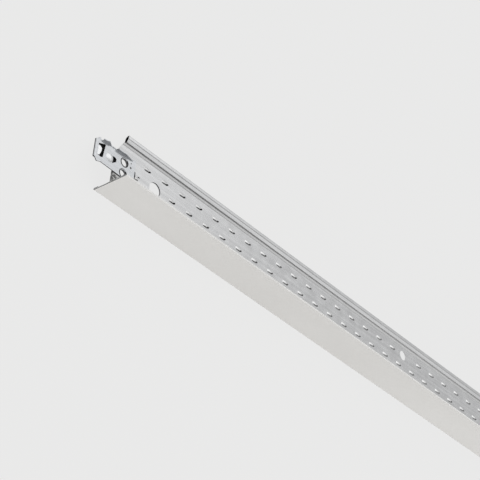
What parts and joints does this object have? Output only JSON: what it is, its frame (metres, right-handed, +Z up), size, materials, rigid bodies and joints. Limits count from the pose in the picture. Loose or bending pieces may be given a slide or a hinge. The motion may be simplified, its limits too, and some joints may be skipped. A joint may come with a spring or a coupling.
{
  "type": "ceiling grid cross tee",
  "caption": "Roll-formed steel cross tee for a suspended ceiling, with a painted flange, a stitched web with holes, a hollow bulb and a folded spring clip at each end.",
  "frame": {"origin": "middle of the tee's length, on the floor under the middle of its box", "axes": "+X along the tee; +Y from the flange towards the bulb; +Z up, with the tee lying on one edge of its flange and one corner of its bulb"},
  "size_m": [0.6044, 0.037, 0.023],
  "materials": {
    "galvanised_steel": "hot-dip galvanised strip, satin grey with a faint spangle",
    "white_paint": "warm off-white baked enamel, satin",
    "spring_steel": "bright plated spring steel, slightly blue"
  },
  "bodies": {
    "root": {"tee_body": "galvanised_steel", "flange_cap": "white_paint", "left_end_clip": "spring_steel", "right_end_clip": "spring_steel"}
  },
  "joints": []
}
